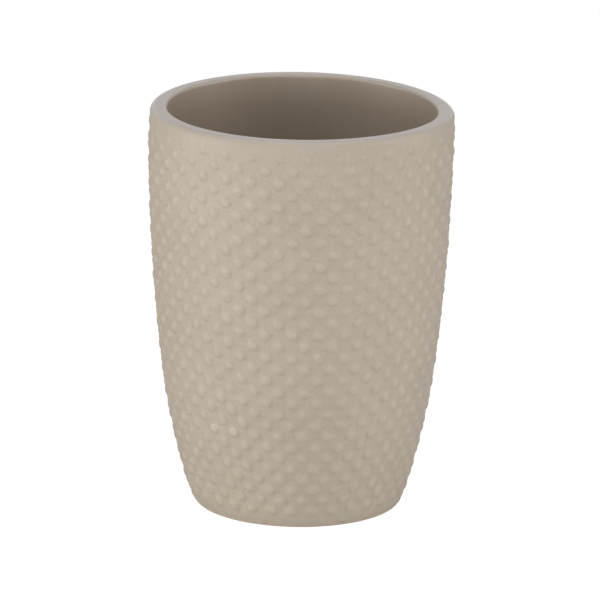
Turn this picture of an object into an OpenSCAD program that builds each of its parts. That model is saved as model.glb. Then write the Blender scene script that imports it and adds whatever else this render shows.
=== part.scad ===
// Bathroom tumbler in slip-cast stoneware with rows of raised dots on a bowed wall.
// Millimetres, +Z up. The origin is the centre of the face that it stands on, and -Y is its front.

/* [Tumbler] */
// Height from the table to the top of the lip
body_h = 107; // [90:1:130]
// Diameter over the smooth wall where it is widest, between the dots
rim_d = 79.2; // [72:0.1:90]
// Height of the upright band under the lip
band_h = 5; // [3:0.5:12]
// Radius of the long bow of the wall, under the upright band
upper_bow_r = 530; // [450:10:800]
// Radius of the tighter bow that draws the wall in to the foot
lower_bow_r = 190; // [150:5:300]
// Height at which the two bows meet
bow_meet_h = 38; // [28:1:50]

/* [Clay and glaze] */
// Thickness of the fired clay wall
clay_t = 3.8; // [3.5:0.1:6]
// Thickness of the clay floor
floor_t = 5.2; // [4:0.1:8]
// Radius of the clay corner between the floor and the wall, inside
floor_round_r = 8; // [5:0.5:12]
// Thickness of every coat of glaze
glaze_t = 0.3; // [0.2:0.05:0.5]
// Radius of the glazed lip on its outer edge
lip_outer_r = 1.6; // [0.8:0.1:1.8]
// Radius of the glazed lip on its inner edge
lip_inner_r = 0.8; // [0.6:0.1:2]

/* [Foot] */
// Width of the bare clay ring that it stands on, with its rounded edges
foot_ring_w = 4.4; // [3.5:0.1:8]
// Radius of both edges of the foot ring
foot_round_r = 0.9; // [0.5:0.1:1]
// Depth of the hollow inside the foot ring
foot_recess_h = 1.5; // [1.2:0.1:2.5]
// Height of bare clay between the table and the outer glaze
bare_foot_h = 1.2; // [1:0.1:2]

/* [Raised dots] */
// Dots in each row
dots_per_row = 34; // [20:1:34]
// Distance from row to row, measured along the wall
row_pitch = 3.165; // [2.6:0.005:3.4]
// Distance from the top of the lip down to the middle of the first row, along the wall
first_row_drop = 4.6; // [3.6:0.1:5]
// Diameter of a full dot where it leaves the glaze
dot_d = 3.2; // [1.6:0.1:3.4]
// Height of a full dot above the glaze
dot_h = 0.5; // [0.3:0.05:0.8]
// Turn of the first row of dots, to the right of the front
dot_turn = 2.65; // [0:0.05:10.5]

/* [Hidden] */
$fn = 96;
// Facets of the large circles that draw the bows, and of a dot
bow_fn = 1440;
dot_fn = 36;

// The first two rows of dots and the last one stand lower than the others
first_row_share = 0.6;
second_row_share = 0.85;
last_row_share = 0.4;

// Overrun of a cut past the face that it opens
cut = 1;
// Side of the squares that pick out one side of a line
reach = 2 * upper_bow_r;

rim_r = rim_d / 2;
wall_t = clay_t + 2 * glaze_t;
band_z = body_h - band_h;
lip_z = body_h - lip_outer_r;

// Middles of the two bows. The long one is level with the foot of the band, so the wall is
// upright there. The other lies on the line from it to where they meet, so the wall has no kink.
upper_mid = [rim_r - upper_bow_r, band_z];
upper_turn = asin((band_z - bow_meet_h) / upper_bow_r);
lower_mid = upper_mid + (upper_bow_r - lower_bow_r) * [cos(upper_turn), -sin(upper_turn)];
// Lengths of the two bows down the wall
upper_run = upper_bow_r * upper_turn * PI / 180;
lower_run = lower_bow_r * (asin(lower_mid.y / lower_bow_r) - upper_turn) * PI / 180;

// Radius of the ball that every dot is a slice of, and of the low dots of the last row
dot_ball_r = (pow(dot_d / 2, 2) + pow(dot_h, 2)) / (2 * dot_h);
last_dot_r = sqrt(pow(dot_ball_r, 2) - pow(dot_ball_r - last_row_share * dot_h, 2));
// Rows of dots for which the glaze has room
glaze_run = band_h + upper_run + lower_run - bare_foot_h;
dot_rows = 1 + floor((glaze_run - first_row_drop - last_dot_r) / row_pitch);

// Middle of a corner of radius r between a level floor at height z and the wall taken in by deep
function corner_mid(deep, z, r) =
    [lower_mid.x + sqrt(pow(lower_bow_r - deep - r, 2) - pow(z + r - lower_mid.y, 2)), z + r];

// Radius, height and downward tilt of the glazed wall at a distance along it from the lip
function wall_at(run) =
    run <= band_h ? [rim_r, body_h - run, 0]
    : run <= band_h + upper_run ?
        let (a = (run - band_h) / upper_bow_r * 180 / PI)
        [upper_mid.x + upper_bow_r * cos(a), upper_mid.y - upper_bow_r * sin(a), a]
    : let (a = upper_turn + (run - band_h - upper_run) / lower_bow_r * 180 / PI)
        [lower_mid.x + lower_bow_r * cos(a), lower_mid.y - lower_bow_r * sin(a), a];

function row_share(row) =
    row == 0 ? first_row_share
    : row == 1 ? second_row_share
    : row == dot_rows - 1 ? last_row_share
    : 1;

// Corner of the bare clay foot, and the wall of the hollow inside the foot ring
foot_corner = corner_mid(glaze_t, 0, foot_round_r);
recess_r = foot_corner.x + foot_round_r - foot_ring_w;

// All that lies above a line through a point, which slopes down outwards by an angle
module above(point, angle) {
    translate(point) rotate(-angle) translate([-reach, 0]) square([2 * reach, reach]);
}

// Half outline of the tumbler's outside, taken in by deep all round, up to height top.
// It has a level bottom at height z and a corner of radius r there.
module bowed(deep, z, r, top) {
    corner = corner_mid(deep, z, r);
    corner_turn = asin((lower_mid.y - corner.y) / (lower_bow_r - deep - r));
    translate([0, band_z]) square([rim_r - deep, top - band_z]);
    translate([0, z]) square([corner.x, band_z - z]);
    translate(corner) circle(r = r);
    intersection() {
        square([reach, band_z]);
        translate(upper_mid) circle(r = upper_bow_r - deep, $fn = bow_fn);
        above(upper_mid, upper_turn);
    }
    difference() {
        intersection() {
            square([reach, band_z]);
            translate(lower_mid) circle(r = lower_bow_r - deep, $fn = bow_fn);
            above(lower_mid, corner_turn);
        }
        above(upper_mid, upper_turn);
    }
}

// Half outline of the space inside, when deep of glaze is taken off its walls
module hollow(deep) {
    mouth = [rim_r - wall_t + lip_inner_r, body_h - lip_inner_r];
    floor_z = foot_recess_h + floor_t + glaze_t - deep;
    bowed(wall_t - deep, floor_z, floor_round_r - glaze_t + deep, body_h + cut);
    difference() {
        translate([0, mouth.y]) square([mouth.x, lip_inner_r + cut]);
        translate(mouth) circle(r = lip_inner_r - deep);
    }
}

// Half section through the tumbler without dots or foot hollow, less deep of glaze all round
module section(deep) {
    difference() {
        union() {
            bowed(deep, 0, foot_round_r, lip_z);
            translate([rim_r - lip_outer_r, lip_z]) circle(r = lip_outer_r - deep);
            translate([0, lip_z]) square([rim_r - lip_outer_r, lip_outer_r - deep]);
        }
        hollow(deep);
    }
}

// Half outline of the hollow in the base, which flares where the foot ring is rounded
module foot_hollow() {
    translate([0, -cut]) square([recess_r, foot_recess_h + cut]);
    difference() {
        translate([0, -cut]) square([recess_r + foot_round_r, foot_round_r + cut]);
        translate([recess_r + foot_round_r, foot_round_r]) circle(r = foot_round_r);
    }
}

// A slice of a ball, share of a full dot high over its origin. Its flat back lies just deep enough
// for its sides to meet a wall that curves round with radius wall_r.
module dot(share, wall_r) {
    h = share * dot_h;
    root = pow(dot_d / 2, 2) / (2 * wall_r);
    rotate_extrude($fn = dot_fn) intersection() {
        translate([0, h - dot_ball_r]) circle(r = dot_ball_r);
        translate([0, -root]) square([dot_d, h + root]);
    }
}

module stoneware_body() {
    color("burlywood") rotate_extrude() difference() {
        section(glaze_t);
        foot_hollow();
    }
}

module outer_glaze() {
    color("tan") rotate_extrude() difference() {
        intersection() {
            bowed(0, 0, foot_round_r, lip_z);
            translate([0, bare_foot_h]) square([rim_r, lip_z - bare_foot_h]);
        }
        bowed(glaze_t, 0, foot_round_r, body_h);
    }
}

module raised_dots() {
    step = 360 / dots_per_row;
    color("wheat") for (row = [0 : dot_rows - 1]) {
        place = wall_at(first_row_drop + row * row_pitch);
        for (i = [0 : dots_per_row - 1])
            rotate(dot_turn - 90 + (i + (row % 2) / 2) * step)
                translate([place[0], 0, place[1]])
                    rotate([0, 90 + place[2], 0]) dot(row_share(row), place[0]);
    }
}

module inner_glaze() {
    color("dimgray") rotate_extrude() difference() {
        intersection() {
            section(0);
            union() {
                hollow(glaze_t);
                translate([0, lip_z]) square([rim_r, lip_outer_r]);
            }
        }
        section(glaze_t);
    }
}

module base_glaze() {
    color("tan") translate([0, 0, foot_recess_h - glaze_t]) cylinder(r = recess_r, h = glaze_t);
}

stoneware_body();
outer_glaze();
raised_dots();
inner_glaze();
base_glaze();
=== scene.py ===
import math

import bmesh
import bpy
from mathutils import Matrix, Vector


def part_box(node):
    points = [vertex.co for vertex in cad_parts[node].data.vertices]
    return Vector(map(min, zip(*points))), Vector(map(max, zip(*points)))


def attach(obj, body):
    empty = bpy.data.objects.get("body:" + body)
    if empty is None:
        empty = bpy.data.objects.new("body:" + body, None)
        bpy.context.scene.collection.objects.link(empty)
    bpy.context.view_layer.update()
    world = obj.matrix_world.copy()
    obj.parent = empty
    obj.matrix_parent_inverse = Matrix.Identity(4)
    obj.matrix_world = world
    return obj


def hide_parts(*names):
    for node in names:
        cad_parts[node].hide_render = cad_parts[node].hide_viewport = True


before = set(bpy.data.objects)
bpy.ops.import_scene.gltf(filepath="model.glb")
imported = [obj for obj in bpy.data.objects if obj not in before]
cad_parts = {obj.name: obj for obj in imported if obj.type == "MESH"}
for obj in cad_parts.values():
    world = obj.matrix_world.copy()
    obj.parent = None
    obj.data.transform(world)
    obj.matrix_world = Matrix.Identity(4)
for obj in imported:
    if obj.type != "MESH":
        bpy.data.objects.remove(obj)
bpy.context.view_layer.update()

# Clay body
# The tumbler is one slip-cast stoneware piece: wall, floor and foot ring. The clay shows only at the
# foot, where the glaze is wiped away before the firing so that the ring doesn't stick to the kiln shelf.

coat_low, coat_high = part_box("outer_glaze")
lining_low, lining_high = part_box("inner_glaze")
base_low, base_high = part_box("base_glaze")

body_h = lining_high.z
rim_r = coat_high.x
lip_z = coat_high.z
bare_foot_h = coat_low.z
recess_r = base_high.x
recess_h = base_high.z
glaze_t = base_high.z - base_low.z
inner_floor_z = lining_low.z + glaze_t

band_h = 0.005
upper_bow_r = 0.530
lower_bow_r = 0.190
bow_meet_z = 0.038
wall_t = 0.0044
lip_outer_r = body_h - lip_z
lip_inner_r = 0.0008
floor_round_r = 0.0077
foot_round_r = 0.0009

upper_turn = math.asin((body_h - band_h - bow_meet_z) / upper_bow_r)
upper_run = upper_bow_r * upper_turn
lower_mid = Vector((
    rim_r - upper_bow_r + (upper_bow_r - lower_bow_r) * math.cos(upper_turn),
    body_h - band_h - (upper_bow_r - lower_bow_r) * math.sin(upper_turn),
))


def wall_point(run, depth=0.0):
    """Radius and height of the wall at a distance down it from the lip, depth under its glazed face."""
    first = min(max(run - band_h, 0.0) / upper_bow_r, upper_turn)
    tilt = first + max(run - band_h - upper_run, 0.0) / lower_bow_r
    if run <= band_h:
        face = Vector((rim_r, body_h - run))
    elif tilt <= upper_turn:
        middle = Vector((rim_r - upper_bow_r, body_h - band_h))
        face = middle + upper_bow_r * Vector((math.cos(tilt), -math.sin(tilt)))
    else:
        face = lower_mid + lower_bow_r * Vector((math.cos(tilt), -math.sin(tilt)))
    return face - depth * Vector((math.cos(tilt), -math.sin(tilt)))


def wall_line(from_run, to_run, depth, steps):
    """Points down the wall between two distances from the lip."""
    return [wall_point(from_run + (to_run - from_run) * i / steps, depth) for i in range(steps + 1)]


def arc(middle, radius, start, end, steps=10):
    """Points on an arc, by angles in degrees above the horizontal."""
    turns = [math.radians(start + (end - start) * i / steps) for i in range(steps + 1)]
    return [middle + radius * Vector((math.cos(a), math.sin(a))) for a in turns]


def foot_of_wall(depth, level, radius):
    """The corner between a level face and the wall: its middle, and the wall's run and slope there."""
    rise = lower_mid.y - level - radius
    across = math.sqrt((lower_bow_r - depth - radius) ** 2 - rise ** 2)
    meet = math.atan2(rise, across)
    run = band_h + upper_run + lower_bow_r * (meet - upper_turn)
    return Vector((lower_mid.x + across, level + radius)), run, math.degrees(meet)


def lip_line(depth):
    """Over the lip from its outside to its inside, depth under the glaze."""
    outer = Vector((rim_r - lip_outer_r, lip_z))
    inner = Vector((rim_r - wall_t + lip_inner_r, body_h - lip_inner_r))
    return arc(outer, lip_outer_r - depth, 0, 90) + arc(inner, lip_inner_r - depth, 90, 180)


inside_steps = 70
corner_steps = 16
floor_shares = (0.75, 0.5, 0.25, 0)


def inside_line(depth):
    """Down the inside from the lip and over the floor to the axis, depth under the glaze."""
    floor_z = inner_floor_z - depth
    middle, run, slope = foot_of_wall(wall_t - depth, floor_z, floor_round_r + depth)
    down = wall_line(lip_inner_r, run, wall_t - depth, inside_steps)
    corner = arc(middle, floor_round_r + depth, -slope, -90, corner_steps)
    floor = [Vector((middle.x * share, floor_z)) for share in floor_shares]
    return down[1:] + corner[1:] + floor


def round_mesh(name, outline, around, turn=0.0, closed=True):
    """A mesh turned from a half outline, round the axis. A point of the outline on the axis is a pole."""
    shape = bmesh.new()
    angles = [turn + math.tau * i / around for i in range(around)]
    rings = []
    for point in outline:
        if point.x < glaze_t / 100:
            rings.append([shape.verts.new((0, 0, point.y))] * around)
        else:
            spots = [(point.x * math.cos(a), point.x * math.sin(a), point.y) for a in angles]
            rings.append([shape.verts.new(spot) for spot in spots])
    pairs = list(zip(rings, rings[1:])) + ([(rings[-1], rings[0])] if closed else [])
    for upper, lower in pairs:
        for i in range(around):
            j = (i + 1) % around
            corners = list(dict.fromkeys((upper[i], upper[j], lower[j], lower[i])))
            if len(corners) > 2:
                shape.faces.new(corners)
    bmesh.ops.recalc_face_normals(shape, faces=shape.faces)
    mesh = bpy.data.meshes.new(name)
    shape.to_mesh(mesh)
    shape.free()
    return mesh


def smooth(mesh, crease=40):
    """Rounds the shading, except across edges that turn more than the crease."""
    mesh.shade_smooth()
    mesh.set_sharp_from_angle(angle=math.radians(crease))


lean_from_z = 0.085
lip_lean = 0.0006
lip_dip = 0.0009
toe_z = 0.014
toe_lean = 0.0004


def warp(mesh):
    """The firing's slight warp: on the right, the mouth leans out, its back dips and the foot spreads."""
    for corner in mesh.vertices:
        side = (1 + corner.co.x / rim_r) / 2
        back = min(1 + corner.co.y / rim_r, 1)
        high = min(max((corner.co.z - lean_from_z) / (body_h - lean_from_z), 0), 1) ** 2
        low = min(max(1 - corner.co.z / toe_z, 0), 1) ** 2
        corner.co.x += side * (lip_lean * high + toe_lean * low)
        corner.co.z -= back * side ** 3 * lip_dip * high


def add_piece(name, mesh, material, slot, *nodes):
    """Puts a finished mesh in the scene as a piece that stands for CAD nodes."""
    warp(mesh)
    piece = bpy.data.objects.new(name, mesh)
    bpy.context.scene.collection.objects.link(piece)
    mesh.materials.clear()
    mesh.materials.append(material)
    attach(piece, "root")
    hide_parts(*nodes)
    return piece


class Finish:
    """A material under construction, with short calls for the nodes that a fired surface needs."""

    def __init__(self, name):
        self.material = bpy.data.materials.new(name)
        self.material.use_nodes = True
        self.tree = self.material.node_tree
        self.shader = self.tree.nodes["Principled BSDF"]
        self.place = self.add("ShaderNodeTexCoord").outputs["Object"]

    def add(self, kind, inputs=None, **settings):
        made = self.tree.nodes.new(kind)
        for key, value in settings.items():
            setattr(made, key, value)
        for key, value in (inputs or {}).items():
            self.feed(made.inputs[key], value)
        return made

    def feed(self, socket, value):
        if isinstance(value, bpy.types.NodeSocket):
            self.tree.links.new(value, socket)
        else:
            socket.default_value = value

    def calc(self, operation, a, b=0.0):
        return self.add("ShaderNodeMath", {0: a, 1: b}, operation=operation).outputs[0]

    def ramp(self, value, low, high, to_low=0.0, to_high=1.0):
        """Eases from one value to another while the input goes from low to high."""
        made = self.add(
            "ShaderNodeMapRange",
            {"Value": value, "From Min": low, "From Max": high, "To Min": to_low, "To Max": to_high},
            interpolation_type="SMOOTHSTEP",
        )
        return made.outputs["Result"]

    def noise(self, size, detail=2.0):
        """Soft noise whose patches are about one size, in metres, across."""
        made = self.add("ShaderNodeTexNoise", {"Vector": self.place, "Scale": 1 / size, "Detail": detail})
        return made.outputs["Fac"]

    def tint(self, tone, other, share):
        """The tone, turned to the other by the share."""
        made = self.add("ShaderNodeMix", data_type="RGBA")
        self.feed(made.inputs["Factor"], share)
        self.feed(made.inputs[6], tone)
        self.feed(made.inputs[7], other)
        return made.outputs[2]

    def specks(self, spacing, radius, share):
        """One where a tiny speck lies: one in every few cells of the given spacing has one."""
        cell = self.add("ShaderNodeTexVoronoi", {"Vector": self.place, "Scale": 1 / spacing})
        chance = self.add("ShaderNodeSeparateColor", {"Color": cell.outputs["Color"]})
        there = self.calc("LESS_THAN", chance.outputs["Red"], share)
        size = self.calc("MULTIPLY", chance.outputs["Green"], radius / spacing)
        away = self.calc("DIVIDE", cell.outputs["Distance"], size)
        spot = self.calc("SUBTRACT", 1.0, self.ramp(away, 0.6, 1.0))
        return self.calc("MULTIPLY", there, spot)

    def bump(self, height, distance, under=None):
        """A bump whose full height is the distance, in metres, over the bump under it."""
        made = self.add("ShaderNodeBump", {"Height": height, "Distance": distance, "Strength": 1.0})
        if under:
            self.feed(made.inputs["Normal"], under)
        return made.outputs["Normal"]


def colour(red, green, blue):
    """A colour as it is seen, 0 to 255 a channel, in the linear light that shaders use."""
    parts = [part / 255 for part in (red, green, blue)]
    return (*[p / 12.92 if p <= 0.04045 else ((p + 0.055) / 1.055) ** 2.4 for p in parts], 1.0)


clay_pale = colour(192, 178, 159)
clay_dark = colour(181, 166, 146)
clay_cloud_size = 0.006
grit_tone = colour(150, 128, 104)
grit_spacing = 0.0016
grit_r = 0.0003
grit_share = 0.35
clay_roughness = (0.8, 0.92)
clay_patch_size = 0.002
pore_size = 0.0004
pore_depth = 0.00006

clay = Finish("bare_clay")
clay_tone = clay.tint(clay_pale, clay_dark, clay.noise(clay_cloud_size, 4))
clay_tone = clay.tint(clay_tone, grit_tone, clay.specks(grit_spacing, grit_r, grit_share))
clay.feed(clay.shader.inputs["Base Color"], clay_tone)
clay_patches = clay.noise(clay_patch_size)
clay.feed(clay.shader.inputs["Roughness"], clay.ramp(clay_patches, 0.3, 0.7, *clay_roughness))
clay.feed(clay.shader.inputs["Normal"], clay.bump(clay.noise(pore_size, 3), pore_depth))

body_around = 204
outside_steps = 60
ring_edge_steps = 8
foot_middle, foot_run, foot_slope = foot_of_wall(glaze_t, 0.0, foot_round_r)
recess_mid = Vector((recess_r + foot_round_r, foot_round_r))
body_line = lip_line(glaze_t) + inside_line(glaze_t)
body_line += [Vector((0, recess_h)), Vector((recess_r / 2, recess_h)), Vector((recess_r, recess_h))]
body_line += arc(recess_mid, foot_round_r, 180, 270, ring_edge_steps)
body_line += arc(foot_middle, foot_round_r, -90, -foot_slope)
body_line += wall_line(foot_run, lip_outer_r, glaze_t, outside_steps)[1:-1]
clay_mesh = round_mesh("clay_body", body_line, body_around)
smooth(clay_mesh)
add_piece("clay_body", clay_mesh, clay.material, "bare_clay", "stoneware_body")

# Base glaze
# The shallow hollow inside the foot ring holds a thin pool of the lining's glaze, poured and swirled
# out, so that only the ring itself stays bare. Its edge creeps a little down the ring's inner wall.

# The lining's beiges are darker than the coat's; most of the difference is painted shade for the inside of
# the cup.
shaded_lining_beige = colour(175, 160, 144)
cloud_beige = colour(172, 157, 141)
mottle_beige = colour(180, 165, 149)
lip_sheen_grey = colour(180, 169, 161)
lip_beige = colour(180, 169, 153)
lining_speck = colour(88, 72, 56)
lining_cloud_size = 0.03
lining_mottle_size = 0.0016
lining_speck_spacing = 0.005
lining_speck_r = 0.00022
lining_speck_share = 0.16
lining_wave_size = 0.004
lining_wave_h = 0.00001

lining_roughness = (0.41, 0.416)
lining_grain_size = 0.0009
lining_ior = 1.7
lip_polish = 0.1
edge_dulling = 0.14
edge_ior = 1.5
lip_start_shares = (0.02, 0.12)
lip_edge_shares = (0.85, 0.91)

lining = Finish("lining_glaze")
clouds = lining.ramp(lining.noise(lining_cloud_size, 2), 0.3, 0.7)
mottle = lining.ramp(lining.noise(lining_mottle_size, 2), 0.35, 0.75, 0, 0.4)
across = lining.add("ShaderNodeAttribute", attribute_name="across_lip").outputs["Fac"]
past_start = lining.ramp(across, *lip_start_shares)
past_edge = lining.ramp(across, *lip_edge_shares)
lining_tone = lining.tint(shaded_lining_beige, cloud_beige, clouds)
lining_tone = lining.tint(lining_tone, mottle_beige, mottle)
# Painted sheen: from the start of the lip outwards the lining is tinted a paler grey.
lining_tone = lining.tint(lining_tone, lip_sheen_grey, past_start)
lining_tone = lining.tint(lining_tone, lip_beige, past_edge)
lining_specks = lining.specks(lining_speck_spacing, lining_speck_r, lining_speck_share)
lining_tone = lining.tint(lining_tone, lining_speck, lining_specks)
lining.feed(lining.shader.inputs["Base Color"], lining_tone)
polish = lining.calc("MULTIPLY", past_start, lining.ramp(across, *reversed(lip_edge_shares), 0, lip_polish))
grain = lining.ramp(lining.noise(lining_grain_size, 2), 0.2, 0.8, *lining_roughness)
dulled = lining.calc("ADD", grain, lining.ramp(across, *lip_edge_shares, 0, edge_dulling))
lining.feed(lining.shader.inputs["Roughness"], lining.calc("SUBTRACT", dulled, polish))
lining.feed(lining.shader.inputs["IOR"], lining.ramp(across, *lip_edge_shares, lining_ior, edge_ior))
lining.feed(lining.shader.inputs["Normal"], lining.bump(lining.noise(lining_wave_size, 1), lining_wave_h))

pool_around = 136
pool_creep = 0.0002
pool_edge_w = 0.0006
pool_sag = 0.00002
pool_z = base_low.z
pool_line = [Vector((share * recess_r, pool_z)) for share in (0, 0.5, 0.92)]
pool_line += [
    Vector((recess_r - pool_edge_w, pool_z - pool_sag)),
    Vector((recess_r - pool_creep, pool_z - pool_creep / 2)),
    Vector((recess_r, pool_z - pool_creep)),
    Vector((recess_r, recess_h)),
    Vector((0, recess_h)),
]
pool_mesh = round_mesh("base_glaze_pool", pool_line, pool_around, closed=False)
smooth(pool_mesh)
add_piece("base_glaze_pool", pool_mesh, lining.material, "lining_glaze", "base_glaze")

# Lip and lining
# The smooth glaze is poured into the tumbler and runs over the rounded lip. Fired, it is satin and glossier
# on the lip, where a paler grey is painted sheen. On its outer edge it turns matt and beige like the coat.

lining_line = lip_line(0) + inside_line(0) + [Vector((0, lining_low.z))] + inside_line(glaze_t)[:-1][::-1]
lining_line += lip_line(glaze_t)[::-1]
lining_mesh = round_mesh("lip_and_lining", lining_line, body_around)
# The share of the way over the lip: 0 on the inside of the wall, 1 on its outside
across_lip = lining_mesh.attributes.new("across_lip", "FLOAT", "POINT")
for corner, share in zip(lining_mesh.vertices, across_lip.data):
    share.value = max(1 - (rim_r - corner.co.xy.length) / wall_t, 0)
smooth(lining_mesh)
add_piece("lip_and_lining", lining_mesh, lining.material, "lining_glaze", "inner_glaze")

# Dotted coat
# The wall is cast with staggered rows of low round dots and sprayed with one matt beige glaze. The
# glaze is thinner and paler on the tops of the dots, and the coat is a little darker round their feet.

dots_in_row = 34
dot_rows = 33
row_pitch = 0.003165
first_row_drop = 0.0046
first_row_turn = math.radians(2.65 - 90)
dot_r = 0.0016
dot_h = 0.00058
dot_seed = 5
first_row_share = 0.6
second_row_share = 0.85
last_row_share = 0.4
size_spread = 0.2
place_spread = 0.00012
merge_distance = dot_h / 50

dot_sides = 12
# Rings of a dot, from its middle out: their radius and height, as shares of the dot's own
dome_shares = [(0.36, 0.94), (0.68, 0.72), (0.95, 0.38), (1.14, 0.13), (1.36, 0.0)]


def dot_cell():
    """One dot's part of the coat, laid flat: rings round its middle, out to the diamond that it shares
    with its neighbours. The rings are in dot radii, and the diamond in dot spacings."""
    shape = bmesh.new()
    edge = shape.verts.layers.float.new("edge")
    middle = shape.verts.new((0, 0, 1))
    rings = []
    for share, rise in dome_shares:
        turns = [math.tau * i / dot_sides for i in range(dot_sides)]
        rings.append([shape.verts.new((share * math.cos(a), share * math.sin(a), rise)) for a in turns])
    tips = [Vector((0.5, 0, 0)), Vector((0, 1, 0)), Vector((-0.5, 0, 0)), Vector((0, -1, 0))]
    side = dot_sides // len(tips)
    rings.append([])
    for i in range(dot_sides):
        from_tip = tips[i // side]
        to_tip = tips[(i // side + 1) % len(tips)]
        corner = shape.verts.new(from_tip.lerp(to_tip, i % side / side))
        corner[edge] = 1.0
        rings[-1].append(corner)
    for i in range(dot_sides):
        j = (i + 1) % dot_sides
        shape.faces.new((middle, rings[0][i], rings[0][j]))
        for inner, outer in zip(rings, rings[1:]):
            shape.faces.new((inner[i], outer[i], outer[j], inner[j]))
    mesh = bpy.data.meshes.new("dot_cell")
    shape.to_mesh(mesh)
    shape.free()
    return bpy.data.objects.new("dot_cell", mesh)


def wall_curve():
    """The wall's half outline as a curve, from the lip down."""
    points = wall_line(0, wall_end, 0, outline_steps)
    curve = bpy.data.curves.new("wall_outline", "CURVE")
    curve.dimensions = "3D"
    spline = curve.splines.new("POLY")
    spline.points.add(len(points) - 1)
    for place, point in zip(spline.points, points):
        place.co = (point.x, 0, point.y, 1)
    return bpy.data.objects.new("wall_outline", curve)


def run_at(height):
    """How far down the wall a height near the foot lies."""
    tilt = math.asin((lower_mid.y - height) / lower_bow_r)
    return band_h + upper_run + lower_bow_r * (tilt - upper_turn)


wall_end = run_at(0)
coat_end = run_at(bare_foot_h)
outline_steps = 400
back_steps = 30

dots = bpy.data.node_groups.new("dotted_coat", "GeometryNodeTree")


def take(name, kind, at_start=None):
    """A named input of the tree."""
    made = dots.interface.new_socket(name, in_out="INPUT", socket_type="NodeSocket" + kind)
    if at_start is not None:
        made.default_value = at_start
    return made


counts = {"Dots in a row": dots_in_row, "Rows": dot_rows, "Seed": dot_seed}
sizes = {
    "Row pitch": row_pitch,
    "First row drop": first_row_drop,
    "First row turn": first_row_turn,
    "Dot radius": dot_r,
    "Dot height": dot_h,
    "First row share": first_row_share,
    "Second row share": second_row_share,
    "Last row share": last_row_share,
    "Coat top": lip_outer_r,
    "Coat end": coat_end,
    "Size spread": size_spread,
    "Place spread": place_spread,
}
take("Geometry", "Geometry")
take("Dot cell", "Object")
take("Wall outline", "Object")
for name, value in counts.items():
    take(name, "Int", value)
for name, value in sizes.items():
    take(name, "Float", value)
take("Material", "Material")
dots.interface.new_socket("Geometry", in_out="OUTPUT", socket_type="NodeSocketGeometry")
given = dots.nodes.new("NodeGroupInput").outputs


def add_node(kind, inputs=None, **settings):
    """A node of the tree, with its inputs linked or set."""
    made = dots.nodes.new(kind)
    for key, value in settings.items():
        setattr(made, key, value)
    for key, value in (inputs or {}).items():
        if isinstance(value, bpy.types.NodeSocket):
            dots.links.new(value, made.inputs[key])
        else:
            made.inputs[key].default_value = value
    return made


def calc(operation, a, b=0.0):
    return add_node("ShaderNodeMath", {0: a, 1: b}, operation=operation).outputs[0]


def choose(condition, if_false, if_true):
    """One of two numbers, where the condition is 0 or 1."""
    return add_node("ShaderNodeMix", {0: condition, 2: if_false, 3: if_true}).outputs[0]


def same(a, b):
    """One where two whole numbers are the same, and otherwise 0."""
    return calc("LESS_THAN", calc("ABSOLUTE", calc("SUBTRACT", a, b)), 0.5)


count = calc("MULTIPLY", given["Dots in a row"], given["Rows"])
points = add_node("GeometryNodePoints", {"Count": count}).outputs[0]
points = add_node(
    "GeometryNodeStoreNamedAttribute",
    {"Geometry": points, "Name": "number", "Value": add_node("GeometryNodeInputIndex").outputs[0]},
    data_type="INT",
).outputs[0]
cell = add_node("GeometryNodeObjectInfo", {"Object": given["Dot cell"]}).outputs["Geometry"]
cells = add_node("GeometryNodeInstanceOnPoints", {"Points": points, "Instance": cell}).outputs[0]
cells = add_node("GeometryNodeRealizeInstances", {"Geometry": cells}).outputs[0]

number = add_node("GeometryNodeInputNamedAttribute", {"Name": "number"}, data_type="INT").outputs[0]
edge = add_node("GeometryNodeInputNamedAttribute", {"Name": "edge"}, data_type="FLOAT").outputs[0]
local = add_node("ShaderNodeSeparateXYZ", {0: add_node("GeometryNodeInputPosition").outputs[0]}).outputs

row = calc("FLOOR", calc("DIVIDE", calc("ADD", number, 0.5), given["Dots in a row"]))
column = calc("SUBTRACT", number, calc("MULTIPLY", row, given["Dots in a row"]))
step = calc("DIVIDE", math.tau, given["Dots in a row"])
stagger = calc("DIVIDE", calc("MODULO", row, 2.0), 2.0)
middle_turn = calc("ADD", given["First row turn"], calc("MULTIPLY", step, calc("ADD", column, stagger)))
middle_run = calc("ADD", given["First row drop"], calc("MULTIPLY", row, given["Row pitch"]))

is_first = same(row, 0.0)
is_last = same(row, calc("SUBTRACT", given["Rows"], 1.0))
share = choose(is_first, choose(same(row, 1.0), 1.0, given["Second row share"]), given["First row share"])
share = choose(is_last, share, given["Last row share"])
luck = add_node(
    "FunctionNodeRandomValue",
    {2: calc("SUBTRACT", 1.0, given["Size spread"]), 3: 1.0, "ID": number, "Seed": given["Seed"]},
    data_type="FLOAT",
).outputs[1]
height_share = calc("MULTIPLY", share, luck)
radius = calc("MULTIPLY", given["Dot radius"], calc("SQRT", height_share))


def stray(seed_step):
    """How far a dot lies off its place in the rows, one way."""
    least = calc("MULTIPLY", given["Place spread"], -1.0)
    seed = calc("ADD", given["Seed"], seed_step)
    inputs = {2: least, 3: given["Place spread"], "ID": number, "Seed": seed}
    return add_node("FunctionNodeRandomValue", inputs, data_type="FLOAT").outputs[1]


above = calc("LESS_THAN", local["Y"], 0.0)
below = calc("GREATER_THAN", local["Y"], 0.0)
square_end = calc("ADD", calc("MULTIPLY", is_first, above), calc("MULTIPLY", is_last, below))
to_top = calc("SUBTRACT", middle_run, given["Coat top"])
to_end = calc("SUBTRACT", given["Coat end"], middle_run)
reach = choose(square_end, given["Row pitch"], choose(above, to_end, to_top))
stretched = calc("MINIMUM", calc("MAXIMUM", calc("MULTIPLY", local["Y"], 1.5), -1.0), 1.0)
down_share = choose(square_end, local["Y"], stretched)
across_share = choose(square_end, local["X"], calc("MULTIPLY", calc("SIGN", local["X"]), 0.5))

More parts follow.
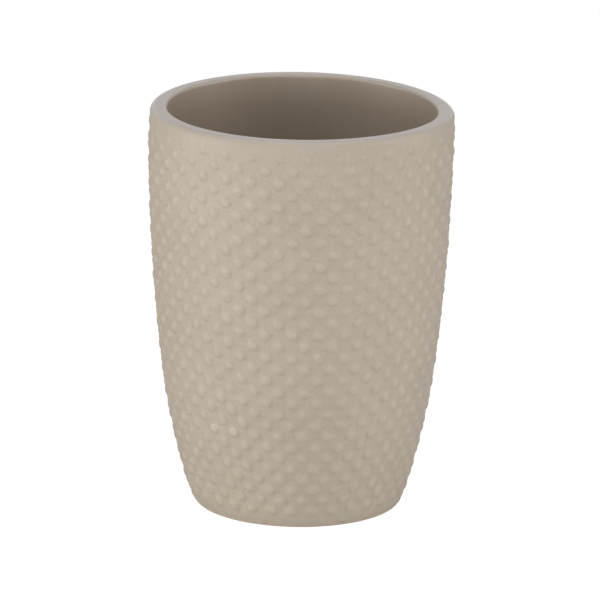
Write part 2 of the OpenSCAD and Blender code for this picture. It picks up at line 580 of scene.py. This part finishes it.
in_dot = calc("ADD", calc("MULTIPLY", local["Y"], radius), stray(1.0))
run = calc("ADD", middle_run, choose(edge, in_dot, calc("MULTIPLY", down_share, reach)))
outline = add_node("GeometryNodeObjectInfo", {"Object": given["Wall outline"]}).outputs["Geometry"]
on_wall = add_node("GeometryNodeSampleCurve", {"Curves": outline, "Length": run}, mode="LENGTH")
spot = add_node("ShaderNodeSeparateXYZ", {0: on_wall.outputs["Position"]}).outputs
slope = add_node("ShaderNodeSeparateXYZ", {0: on_wall.outputs["Tangent"]}).outputs
turn_in_dot = calc("DIVIDE", calc("ADD", calc("MULTIPLY", local["X"], radius), stray(2.0)), spot["X"])
turn = calc("ADD", middle_turn, choose(edge, turn_in_dot, calc("MULTIPLY", across_share, step)))
lift = calc("MULTIPLY", calc("MULTIPLY", local["Z"], height_share), given["Dot height"])
out = calc("SUBTRACT", spot["X"], calc("MULTIPLY", slope["Z"], lift))
up = calc("ADD", spot["Z"], calc("MULTIPLY", slope["X"], lift))
to_right = calc("MULTIPLY", out, calc("COSINE", turn))
to_back = calc("MULTIPLY", out, calc("SINE", turn))
place = add_node("ShaderNodeCombineXYZ", {"X": to_right, "Y": to_back, "Z": up}).outputs[0]

cells = add_node(
    "GeometryNodeStoreNamedAttribute",
    {"Geometry": cells, "Name": "rise", "Value": calc("MULTIPLY", local["Z"], height_share)},
    data_type="FLOAT",
).outputs[0]
cells = add_node("GeometryNodeSetPosition", {"Geometry": cells, "Position": place}).outputs[0]
whole = add_node("GeometryNodeJoinGeometry")
dots.links.new(cells, whole.inputs[0])
dots.links.new(given["Geometry"], whole.inputs[0])
merging = {"Geometry": whole.outputs[0], "Distance": merge_distance}
merged = add_node("GeometryNodeMergeByDistance", merging).outputs[0]
dressed = add_node("GeometryNodeSetMaterial", {"Geometry": merged, "Material": given["Material"]})
dots.links.new(dressed.outputs[0], add_node("NodeGroupOutput").inputs[0])

coat_beige = colour(186, 173, 156)
coat_cloud = colour(181, 169, 152)
coat_mottle = colour(196, 183, 167)
coat_grain = colour(166, 160, 147)
dot_foot_tone = colour(162, 150, 135)
dot_top_tone = colour(207, 189, 168)
foot_band_tone = colour(176, 167, 152)
coat_speck = colour(92, 76, 60)
glint_tone = colour(220, 211, 202)
coat_cloud_size = 0.02
coat_mottle_size = 0.0012
coat_grain_size = 0.0004
foot_band_from = 0.0045
foot_band_to = 0.0025
coat_speck_spacing = 0.005
coat_speck_r = 0.00024
coat_speck_share = 0.28
painted_glints = [(-0.02151, -0.02695, 0.02720), (-0.01676, -0.03011, 0.02710)]
glint_r = 0.0012
coat_roughness = (0.52, 0.58)
coat_patch_size = 0.0009
coat_wave_size = 0.003
coat_wave_h = 0.00003
coat_pore_size = 0.0005
coat_pore_depth = 0.00001

coat = Finish("matt_glaze")
rise = coat.add("ShaderNodeAttribute", attribute_name="rise").outputs["Fac"]
level = coat.add("ShaderNodeSeparateXYZ", {0: coat.place}).outputs["Z"]
clouds = coat.ramp(coat.noise(coat_cloud_size, 3), 0.35, 0.65)
mottle = coat.ramp(coat.noise(coat_mottle_size, 2), 0.45, 0.75, 0, 0.35)
grain = coat.ramp(coat.noise(coat_grain_size, 3), 0.42, 0.62, 0.32, 0)
# A little darker on the lower slopes of each dot, round its foot.
dot_foot = coat.calc("MULTIPLY", coat.ramp(rise, 0.0, 0.2), coat.ramp(rise, 0.7, 0.2, 0, 0.12))
coat_tone = coat.tint(coat_beige, coat_cloud, clouds)
coat_tone = coat.tint(coat_tone, coat_mottle, mottle)
coat_tone = coat.tint(coat_tone, coat_grain, grain)
coat_tone = coat.tint(coat_tone, dot_foot_tone, dot_foot)
coat_tone = coat.tint(coat_tone, dot_top_tone, coat.ramp(rise, 0.15, 1.0, 0, 0.2))
coat_tone = coat.tint(coat_tone, foot_band_tone, coat.ramp(level, foot_band_from, foot_band_to, 0, 0.6))
coat_specks = coat.specks(coat_speck_spacing, coat_speck_r, coat_speck_share)
coat_tone = coat.tint(coat_tone, coat_speck, coat_specks)
# Painted highlights: a pale ring on each of two dots low on the left stands in for the glints on them.
for glint_place in painted_glints:
    away = coat.add("ShaderNodeVectorMath", {0: coat.place, 1: glint_place}, operation="DISTANCE")
    far = coat.calc("DIVIDE", away.outputs["Value"], glint_r)
    glint_ring = coat.calc("MULTIPLY", coat.ramp(far, 1, 0.7), coat.ramp(far, 0, 0.7, 0.06, 0.26))
    coat_tone = coat.tint(coat_tone, glint_tone, glint_ring)
coat.feed(coat.shader.inputs["Base Color"], coat_tone)
coat_patches = coat.noise(coat_patch_size, 3)
coat.feed(coat.shader.inputs["Roughness"], coat.ramp(coat_patches, 0.2, 0.8, *coat_roughness))
coat_waves = coat.bump(coat.noise(coat_wave_size, 2), coat_wave_h)
coat_pores = coat.bump(coat.noise(coat_pore_size, 2), coat_pore_depth, coat_waves)
coat.feed(coat.shader.inputs["Normal"], coat_pores)

back_line = [wall_point(lip_outer_r)]
back_line += wall_line(lip_outer_r, coat_end, glaze_t, back_steps)
back_line += [wall_point(coat_end)]
back_mesh = round_mesh("coat_back", back_line, 2 * dots_in_row, first_row_turn, closed=False)
holder = bpy.data.objects.new("coat_back", back_mesh)
cell_object = dot_cell()
outline_object = wall_curve()
for helper in (holder, cell_object, outline_object):
    bpy.context.scene.collection.objects.link(helper)
modifier = holder.modifiers.new("dots", "NODES")
modifier.node_group = dots
things = {"Dot cell": cell_object, "Wall outline": outline_object, "Material": coat.material}
for name, value in (counts | sizes | things).items():
    modifier[dots.interface.items_tree[name].identifier] = value
bpy.context.view_layer.update()
coat_mesh = bpy.data.meshes.new_from_object(holder.evaluated_get(bpy.context.evaluated_depsgraph_get()))
for helper in (holder, cell_object, outline_object):
    bpy.data.objects.remove(helper)
shell = bmesh.new()
shell.from_mesh(coat_mesh)
bmesh.ops.recalc_face_normals(shell, faces=shell.faces)
shell.to_mesh(coat_mesh)
shell.free()
smooth(coat_mesh, 60)
add_piece("dotted_coat", coat_mesh, coat.material, "matt_glaze", "outer_glaze", "raised_dots")

# Floor, light and camera
# The tumbler stands on a plain white table in a white tent. A tall soft box and a low strip light stand
# on its left, on its right and in front, and one more soft box hangs over it. The camera stands where
# the photograph was taken from.

floor_half = 3.0
floor_white = 0.95
floor_share = 0.8
floor_glow = 1.19
floor_mirror = 0.2
tent_light = 0.0
tent_glow = 1.0


def show_white(tree, lit, white, seen_share, mirror_share):
    """Mixes white over a lit shader, by one share for the camera and another for reflections."""
    rays = tree.nodes.new("ShaderNodeLightPath").outputs
    shares = {"Camera": seen_share, "Glossy": mirror_share, "Transmission": mirror_share}
    most = None
    for ray, share in shares.items():
        part = tree.nodes.new("ShaderNodeMath")
        part.operation = "MULTIPLY"
        part.inputs[1].default_value = share
        tree.links.new(rays[f"Is {ray} Ray"], part.inputs[0])
        if most:
            larger = tree.nodes.new("ShaderNodeMath")
            larger.operation = "MAXIMUM"
            tree.links.new(most, larger.inputs[0])
            tree.links.new(part.outputs[0], larger.inputs[1])
            part = larger
        most = part.outputs[0]
    mixed = tree.nodes.new("ShaderNodeMixShader")
    tree.links.new(most, mixed.inputs[0])
    tree.links.new(lit.outputs[0], mixed.inputs[1])
    tree.links.new(white.outputs[0], mixed.inputs[2])
    return mixed.outputs[0]


floor_mesh = bpy.data.meshes.new("floor")
corners = [(-1, -1), (1, -1), (1, 1), (-1, 1)]
floor_mesh.from_pydata([(floor_half * x, floor_half * y, 0) for x, y in corners], [], [(0, 1, 2, 3)])
floor = bpy.data.objects.new("floor", floor_mesh)
bpy.context.scene.collection.objects.link(floor)
floor_paint = bpy.data.materials.new("floor_white")
floor_paint.use_nodes = True
paint = floor_paint.node_tree
paint.nodes.clear()
matt = paint.nodes.new("ShaderNodeBsdfDiffuse")
matt.inputs["Color"].default_value = (floor_white, floor_white, floor_white, 1)
glow = paint.nodes.new("ShaderNodeEmission")
glow.inputs["Strength"].default_value = floor_glow
floor_output = paint.nodes.new("ShaderNodeOutputMaterial")
paint.links.new(show_white(paint, matt, glow, floor_share, floor_mirror), floor_output.inputs[0])
floor_mesh.materials.append(floor_paint)

world = bpy.data.worlds.new("tent")
bpy.context.scene.world = world
world.use_nodes = True
tent = world.node_tree
tent.nodes.clear()
ambient = tent.nodes.new("ShaderNodeBackground")
ambient.inputs["Color"].default_value = (1, 1, 1, 1)
ambient.inputs["Strength"].default_value = tent_light
backdrop = tent.nodes.new("ShaderNodeBackground")
backdrop.inputs["Color"].default_value = (1, 1, 1, 1)
backdrop.inputs["Strength"].default_value = tent_glow
tent_output = tent.nodes.new("ShaderNodeOutputWorld")
tent.links.new(show_white(tent, ambient, backdrop, 1.0, 1.0), tent_output.inputs[0])


def soft_box(name, side, rise, size, power):
    """An area lamp that faces the middle of the tumbler, side degrees to the right of the front."""
    a, e = math.radians(side), math.radians(rise)
    middle = Vector((0, 0, body_h / 2))
    away = Vector((math.sin(a) * math.cos(e), -math.cos(a) * math.cos(e), math.sin(e)))
    data = bpy.data.lights.new(name, "AREA")
    data.shape = "RECTANGLE"
    data.size, data.size_y = size
    data.energy = power
    lamp = bpy.data.objects.new(name, data)
    lamp.location = middle + lamp_distance * away
    lamp.rotation_euler = away.to_track_quat("Z", "Y").to_euler()
    lamp.visible_camera = False
    bpy.context.scene.collection.objects.link(lamp)


lamp_distance = 0.9
box_rise = 20
box_size = (0.5, 0.75)
strip_rise = 4
strip_size = (0.5, 0.22)
top_rise = 88
top_size = (0.8, 0.8)
soft_box("left_soft_box", -75, box_rise, box_size, power=2.75)
soft_box("front_soft_box", 0, box_rise, box_size, power=1.9)
soft_box("right_soft_box", 82, box_rise, box_size, power=2.9)
soft_box("left_strip", -75, strip_rise, strip_size, power=1.6)
soft_box("front_strip", 0, strip_rise, strip_size, power=1.75)
soft_box("right_strip", 75, strip_rise, strip_size, power=0.7)
soft_box("top_soft_box", 0, top_rise, top_size, power=2.5)

camera_distance = 1.8
camera_height = 0.55415
camera_pitch = math.radians(15.517)
camera_yaw = math.radians(0.0085)
camera_roll = math.radians(0.7193)
camera_lens = 425.64
sensor_w = 36
camera_data = bpy.data.cameras.new("camera")
camera_data.sensor_width = sensor_w
camera_data.lens = camera_lens
camera = bpy.data.objects.new("camera", camera_data)
turned = Matrix.Rotation(-camera_yaw, 4, "Z") @ Matrix.Rotation(math.pi / 2 - camera_pitch, 4, "X")
camera.matrix_world = (
    Matrix.Translation((0, -camera_distance, camera_height)) @ turned @ Matrix.Rotation(camera_roll, 4, "Z")
)
bpy.context.scene.collection.objects.link(camera)
bpy.context.scene.camera = camera

bpy.context.scene.view_settings.view_transform = "Standard"
